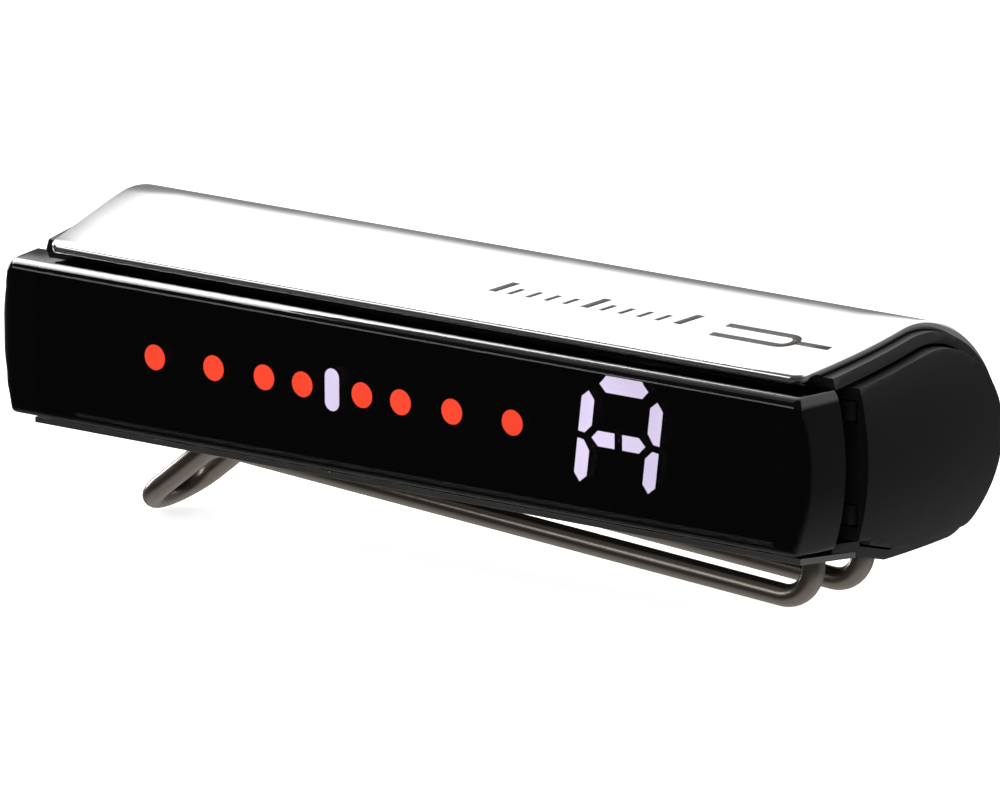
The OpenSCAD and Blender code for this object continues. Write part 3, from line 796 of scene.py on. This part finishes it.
class TUNER_OT_window(bpy.types.Operator):
    """Smoked window: a tray with a round top edge, open at the back"""

    bl_idname = "tuner.window"
    bl_label = "Window"

    corner_x = 40.2
    foot_radius = 0.5
    side_share = 0.3  # how much of the top edge's rounding the ends get
    left_reach = 0.6  # how much further the left end comes out
    hollow_x = 38.0
    end_wall = 0.3  # clear wall left at each end of the hollow
    hollow_low = -6.0
    hollow_high = 5.3
    side_steps = 6
    corner_steps = 8
    foot_steps = 5
    face_steps = 12
    edge_steps = 10

    def outline(self, bar, window, z, inset, back):
        """Plan outline at height z from the right back corner round the front to the left one"""
        corner = window.corner / MM
        corner_y = bar.front + corner
        right = []
        for step in range(self.side_steps + 1):
            y = back + (corner_y - back) * step / self.side_steps
            x = min(bar.crown(y, z, bar.half), self.corner_x + corner)
            right.append((x - inset * self.side_share, y))
        for step in range(1, self.corner_steps + 1):
            turn = math.radians(90 * step / self.corner_steps)
            share = self.side_share + (1 - self.side_share) * math.sin(turn) ** 2
            x, y = polar((self.corner_x, corner_y), corner - inset * share, -turn)
            limit = bar.crown(y, z, bar.half) - inset * self.side_share
            right.append((min(x, limit), y))
        return right + [(-x - self.left_reach, y) for x, y in reversed(right)]

    def execute(self, context):
        bar = Bar()
        window = settings("tuner_window")
        top = LENS_HIGH.z / MM - ROW_Z / MM
        foot = LENS_LOW.z / MM - ROW_Z / MM
        back = LENS_HIGH.y / MM
        edge = window.top_edge / MM
        levels = []
        for step in range(self.foot_steps + 1):
            turn = math.radians(90 * step / self.foot_steps)
            z = foot + self.foot_radius * (1 - math.cos(turn))
            levels.append((z, self.foot_radius * (1 - math.sin(turn))))
        flat_from, flat_to = foot + self.foot_radius, top - edge
        for step in range(1, self.face_steps):
            levels.append((flat_from + (flat_to - flat_from) * step / self.face_steps, 0.0))
        for step in range(self.edge_steps + 1):
            turn = math.radians(90 * step / self.edge_steps)
            levels.append((flat_to + edge * math.sin(turn), edge * (1 - math.cos(turn))))
        points = []
        for z, inset in levels:
            points += [(x, y, z) for x, y in self.outline(bar, window, z, inset, back)]
        count = len(points) // len(levels)
        faces = quads(count, len(levels))
        last = (len(levels) - 1) * count
        faces.append(tuple(range(count)))
        faces.append(tuple(range(last, last + count)))
        inner_front = bar.front + window.wall / MM
        rims = []
        for z, _ in levels:
            low = min(max(z, self.hollow_low), self.hollow_high)
            rims.append(len(points))
            points += [(self.hollow_x, back, low), (self.hollow_x, inner_front, low),
                       (-self.hollow_x, inner_front, low), (-self.hollow_x, back, low)]
        for j in range(len(levels) - 1):
            a, b = rims[j], rims[j + 1]
            for i in range(3):
                faces.append((a + i, b + i, b + i + 1, a + i + 1))
            faces.append((j * count, (j + 1) * count, b, a))
            faces.append((j * count + count - 1, (j + 1) * count + count - 1, b + 3, a + 3))
        for j, row in ((0, 0), (len(levels) - 1, last)):
            a = rims[j]
            faces.append((a, a + 1, a + 2, a + 3))
            faces.append((row, row + count - 1, a + 3, a))
        piece = mesh_piece(
            "window", points, faces, "case", finish("smoked_window"),
            ["front_lens"])
        self.blacken_ends(piece.data)
        piece.data.set_sharp_from_angle(angle=math.radians(50))
        return {"FINISHED"}

    def blacken_ends(self, mesh):
        """The moulding is solid black beyond the hollow that holds the lights"""
        mesh.materials.append(finish("window_black"))
        build = bmesh.new()
        build.from_mesh(mesh)
        solid_x = (self.hollow_x + self.end_wall) * MM
        for side in (-1, 1):
            everything = build.verts[:] + build.edges[:] + build.faces[:]
            bmesh.ops.bisect_plane(
                build, geom=everything, dist=SAME_POINT,
                plane_co=(side * solid_x, 0, 0), plane_no=(side, 0, 0))
        for face in build.faces:
            if abs(face.calc_center_median().x) > solid_x:
                face.material_index = 1
        build.to_mesh(mesh)
        build.free()


class TUNER_OT_lights(bpy.types.Operator):
    """Round lights, centre light and note display, in their black block"""

    bl_idname = "tuner.lights"
    bl_label = "Lights"

    def execute(self, context):
        dress("red_lights", finish("red_glow"))
        dress("centre_light", finish("white_glow"))
        dress("note_segments", finish("white_glow"))
        dress("light_block", finish("block_black"))
        dress("lens_gasket", finish("seal_rubber"))
        return {"FINISHED"}


class TUNER_OT_case(bpy.types.Operator):
    """Black case and the steel plate under the window"""

    bl_idname = "tuner.case"
    bl_label = "Case"

    def execute(self, context):
        edge = settings("tuner_plastic").edge
        dress("main_case", finish("black_plastic"), edge)
        dress("bottom_plate", finish("plate_steel"), 0.08 * MM)
        dress("plate_screws", finish("screw_steel"), 0.08 * MM)
        return {"FINISHED"}


class TUNER_OT_end_caps(bpy.types.Operator):
    """Button cap on the left and hinged battery cap on the right"""

    bl_idname = "tuner.end_caps"
    bl_label = "End caps"

    def execute(self, context):
        edge = settings("tuner_plastic").edge
        dress("left_end_cap", finish("black_plastic"), edge)
        dress("battery_cap", finish("black_plastic"), edge)
        dress("cap_screws", finish("screw_steel"), 0.06 * MM)
        dress("cap_hinge_pin", finish("screw_steel"), 0.05 * MM)
        dress("cap_contact", finish("contact_metal"), 0.04 * MM)
        return {"FINISHED"}


class TUNER_OT_buttons(bpy.types.Operator):
    """Power and tuning buttons with their switches"""

    bl_idname = "tuner.buttons"
    bl_label = "Buttons"

    def execute(self, context):
        for node in ("power_button", "tuning_button"):
            dress(node, finish("button_plastic"), 0.15 * MM)
        for node in ("power_plunger", "tuning_plunger"):
            dress(node, finish("chip_black"), 0.05 * MM)
        for node in ("power_switch", "tuning_switch"):
            dress(node, finish("zinc"), 0.05 * MM)
        dress("button_board", finish("board_green"))
        return {"FINISHED"}


class TUNER_OT_power(bpy.types.Operator):
    """Battery and its contacts"""

    bl_idname = "tuner.power"
    bl_label = "Battery"

    def execute(self, context):
        dress("battery", finish("cell_jacket"), 0.3 * MM)
        dress("battery_spring", finish("contact_metal"))
        dress("spring_plate", finish("contact_metal"), 0.05 * MM)
        return {"FINISHED"}


class TUNER_OT_electronics(bpy.types.Operator):
    """Boards, chips and the piezo pickup inside the case"""

    bl_idname = "tuner.electronics"
    bl_label = "Electronics"

    finishes = {
        "display_board": "board_green", "red_chips": "chip_amber", "white_chips": "chip_amber",
        "main_board": "board_green", "processor_chip": "chip_black", "clock_crystal": "zinc",
        "small_chips": "chip_black", "piezo_disc": "brass_disc", "piezo_ceramic": "piezo_white",
        "piezo_pad": "foam"}

    def execute(self, context):
        for node, slot in self.finishes.items():
            dress(node, finish(slot))
        return {"FINISHED"}


class TUNER_OT_clip(bpy.types.Operator):
    """Hairpin spring wire with its anchor"""

    bl_idname = "tuner.clip"
    bl_label = "Spring clip"

    pivot = (35.5, -7.05)  # (x, z) of the turned-in ends
    middle_y = -1.05
    elbow = 1.3  # radius of the turned-in ends' bend
    stub = 1.8  # straight part of a turned-in end
    root = 3.0  # radius of the bend below the pivot
    root_drop = 3.1  # from the pivot down to the middle of that bend
    run = 57.9  # length of the straight strands
    peak = 4.0  # radius of the bend between the strands and the lip
    flare = 5.45  # straight part of the lip
    elbow_steps = 8
    root_steps = 28
    run_steps = 8
    peak_steps = 14
    lip_steps = 18

    def strand(self, clip):
        """Half of the wire's centre line, on the middle's positive side, from its end to the lip"""
        rise, slope = clip.rise, clip.lip_slope
        half = clip.strand_gap / MM / 2
        x, z = self.pivot
        line = [(x, half - self.elbow - self.stub, z), (x, half - self.elbow, z)]
        for step in range(1, self.elbow_steps + 1):
            turn = math.radians(90 * step / self.elbow_steps)
            y = half - self.elbow * (1 - math.sin(turn))
            line.append((x, y, z - self.elbow * (1 - math.cos(turn))))
        centre = (x - self.root, z - self.root_drop)
        flat = arc(centre, self.root, 0, -math.pi / 2 - rise, self.root_steps)
        start = flat[-1]
        end = polar(start, self.run, math.pi - rise)
        top = polar(end, self.peak, -math.pi / 2 - rise)
        for step in range(1, self.run_steps):
            flat.append(polar(start, self.run * step / self.run_steps, math.pi - rise))
        flat += arc(top, self.peak, math.pi / 2 - rise, math.pi / 2 + slope, self.peak_steps)
        line += [(point[0], half, point[1]) for point in flat]
        lip = polar(flat[-1], self.flare, math.pi + slope)
        for step in range(self.lip_steps + 1):
            turn = math.radians(90 - 90 * step / self.lip_steps)
            out = half * math.cos(turn)
            line.append(
                (lip[0] - out * math.cos(slope), half * math.sin(turn),
                 lip[1] - out * math.sin(slope)))
        return line

    def execute(self, context):
        clip = settings("tuner_clip")
        half = self.strand(clip)
        path = half + [(x, -y, z) for x, y, z in reversed(half[:-1])]
        curve = bpy.data.curves.new("spring_wire", "CURVE")
        curve.dimensions = "3D"
        curve.bevel_depth = clip.wire / 2
        curve.bevel_resolution = 10
        curve.use_fill_caps = True
        spline = curve.splines.new("POLY")
        spline.points.add(len(path) - 1)
        for point, (x, y, z) in zip(spline.points, path):
            point.co = (x * MM, (y + self.middle_y) * MM, z * MM + ROW_Z, 1.0)
        spline.use_smooth = True
        wire = new_object("spring_wire", curve)
        curve.materials.append(finish("spring_wire"))
        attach(wire, "clip")
        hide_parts("clip_wire")
        dress("clip_anchor", finish("zinc"), 0.1 * MM)
        dress("clip_screws", finish("screw_steel"), 0.08 * MM)
        return {"FINISHED"}


# ---------------------------------------------------------------- stage


class TUNER_OT_stage(bpy.types.Operator):
    """Pale floor, soft studio light and the camera"""

    bl_idname = "tuner.stage"
    bl_label = "Stage"

    aim = (-7.0, 0.0)  # (x, z) in millimetres of the point that the camera is set out from
    slide = (-13.81, 0.832)  # millimetres that the aim lies right of and above the view's middle
    floor_radius = 4.0
    floor_glow = 0.72  # the floor is a light table, so it keeps no dark shadow
    backdrop = 0.97  # the world as the camera sees it
    even_light = 1.45  # the world as matt surfaces see it
    lights = (  # name, place, target and size in metres, power in watts, spread in degrees
        ("overhead", (-0.28, 0.03, 0.26), (-0.06, 0.0, 0.02), (0.34, 0.15), 0.32, 60),
        ("overhead_fill", (-0.15, 0.03, 0.27), (0.0, 0.0, 0.02), (0.34, 0.10), 0.05, 180),
        ("left_card", (-0.45, 0.10, 0.10), (0.0, 0.0, 0.02), (0.10, 0.25), 0.5, 180),
        ("front_strip", (-0.42, -0.52, 0.24), (0.0, 0.0, 0.01), (0.50, 0.12), 0.4, 180))

    def floor(self, stage):
        material, tree, shader = new_material("studio_floor", tuple(stage.floor), 0.0, 0.7)
        grain = effect(tree, "grain", Scale=40.0, Tone_Spread=0.01)
        toned(tree, shader, tuple(stage.floor), grain.outputs["Tone"])
        shader.inputs["Emission Color"].default_value = (1.0, 1.0, 1.0, 1.0)
        shader.inputs["Emission Strength"].default_value = self.floor_glow
        build = bmesh.new()
        bmesh.ops.create_circle(build, cap_ends=True, radius=self.floor_radius, segments=96)
        mesh = bpy.data.meshes.new("studio_floor")
        build.to_mesh(mesh)
        build.free()
        floor = new_object("studio_floor", mesh)
        mesh.materials.append(material)
        floor.visible_glossy = False
        floor.visible_transmission = False

    def panel_light(self, name, place, target, size, power, spread):
        """A soft rectangular light that faces its target and adds to reflections only"""
        data = bpy.data.lights.new(name, "AREA")
        data.shape = "RECTANGLE"
        data.size, data.size_y = size
        data.energy = power
        data.spread = math.radians(spread)
        light = new_object(name, data)
        light.location = place
        direction = Vector(target) - Vector(place)
        light.rotation_mode = "QUATERNION"
        light.rotation_quaternion = direction.to_track_quat("-Z", "Y")
        light.visible_camera = False
        light.visible_diffuse = False

    def sky(self):
        """Bright behind and above in reflections, and even for the camera and matt surfaces"""
        world = bpy.data.worlds.new("studio")
        bpy.context.scene.world = world
        world.use_nodes = True
        tree = world.node_tree
        background = tree.nodes["Background"]
        where = tree.nodes.new("ShaderNodeTexCoord")
        parts = tree.nodes.new("ShaderNodeSeparateXYZ")
        tree.links.new(where.outputs["Generated"], parts.inputs[0])

        def ramp(source, low, high, start, end):
            node = tree.nodes.new("ShaderNodeMapRange")
            node.interpolation_type = "SMOOTHSTEP"
            ends = {"From Min": low, "From Max": high, "To Min": start, "To Max": end}
            for label, value in ends.items():
                node.inputs[label].default_value = value
            tree.links.new(source, node.inputs["Value"])
            return node.outputs[0]

        height = ramp(parts.outputs["Z"], 0.16, 0.36, 0.0, 1.0)
        depth = ramp(parts.outputs["Y"], -0.1, 0.35, 0.04, 1.25)
        dim = ramp(parts.outputs["Y"], -0.4, 0.6, 0.04, 0.15)
        below = ramp(parts.outputs["Z"], -0.80, -0.30, 0.30, 0.0)
        glow = math_node(tree, "ADD", math_node(tree, "MULTIPLY", height, depth), dim)
        glow = math_node(tree, "ADD", glow, below)
        path = tree.nodes.new("ShaderNodeLightPath")
        seen = math_node(tree, "MULTIPLY", path.outputs["Is Camera Ray"], self.backdrop)
        even = math_node(tree, "MULTIPLY", path.outputs["Is Diffuse Ray"], self.even_light)
        shown = math_node(tree, "MAXIMUM", math_node(tree, "MAXIMUM", glow, seen), even)
        tree.links.new(shown, background.inputs["Strength"])
        background.inputs["Color"].default_value = (1.0, 1.0, 1.0, 1.0)

    def camera(self, stage):
        bar = Bar()
        target = Vector((self.aim[0] * MM, bar.front * MM, self.aim[1] * MM + ROW_Z))
        a, e, r = stage.azimuth, stage.elevation, stage.roll
        back = Vector((math.sin(a) * math.cos(e), -math.cos(a) * math.cos(e), math.sin(e)))
        right = Vector((math.cos(a), math.sin(a), 0.0))
        up = back.cross(right)
        right, up = (
            right * math.cos(r) + up * math.sin(r), up * math.cos(r) - right * math.sin(r))
        data = bpy.data.cameras.new("camera")
        data.sensor_width = 36.0
        data.lens = stage.lens
        data.clip_start, data.clip_end = 0.01, 20.0
        camera = new_object("camera", data)
        shift = right * self.slide[0] * MM + up * self.slide[1] * MM
        camera.location = target + back * stage.distance - shift
        camera.rotation_mode = "QUATERNION"
        camera.rotation_quaternion = Matrix((right, up, back)).transposed().to_quaternion()
        bpy.context.scene.camera = camera

    def execute(self, context):
        stage = settings("tuner_stage")
        bpy.context.scene.view_settings.view_transform = "Standard"
        self.floor(stage)
        self.sky()
        for light in self.lights:
            self.panel_light(*light)
        self.camera(stage)
        return {"FINISHED"}


OPERATORS = (
    TUNER_OT_stage, TUNER_OT_case, TUNER_OT_end_caps, TUNER_OT_buttons, TUNER_OT_power,
    TUNER_OT_electronics, TUNER_OT_lights, TUNER_OT_window, TUNER_OT_cover, TUNER_OT_marks,
    TUNER_OT_clip)


class TUNER_PT_panel(bpy.types.Panel):
    """Lists the pieces and their settings"""

    bl_idname = "TUNER_PT_panel"
    bl_label = "Clip on tuner"
    bl_space_type = "VIEW_3D"
    bl_region_type = "UI"
    bl_category = "Tuner"

    def draw(self, context):
        for name, kind in SETTINGS.items():
            box = self.layout.box()
            box.label(text=kind.__doc__)
            for key in kind.__annotations__:
                box.prop(getattr(context.scene, name), key)
        for operator in OPERATORS:
            self.layout.operator(operator.bl_idname)


def register():
    for kind in (*SETTINGS.values(), *OPERATORS, TUNER_PT_panel):
        bpy.utils.register_class(kind)
    for name, kind in SETTINGS.items():
        setattr(bpy.types.Scene, name, PointerProperty(type=kind))


def unregister():
    for name in SETTINGS:
        delattr(bpy.types.Scene, name)
    for kind in reversed((*SETTINGS.values(), *OPERATORS, TUNER_PT_panel)):
        bpy.utils.unregister_class(kind)


def main():
    register()
    for operator in OPERATORS:
        group, name = operator.bl_idname.split(".")
        getattr(getattr(bpy.ops, group), name)()


if __name__ == "__main__":
    main()
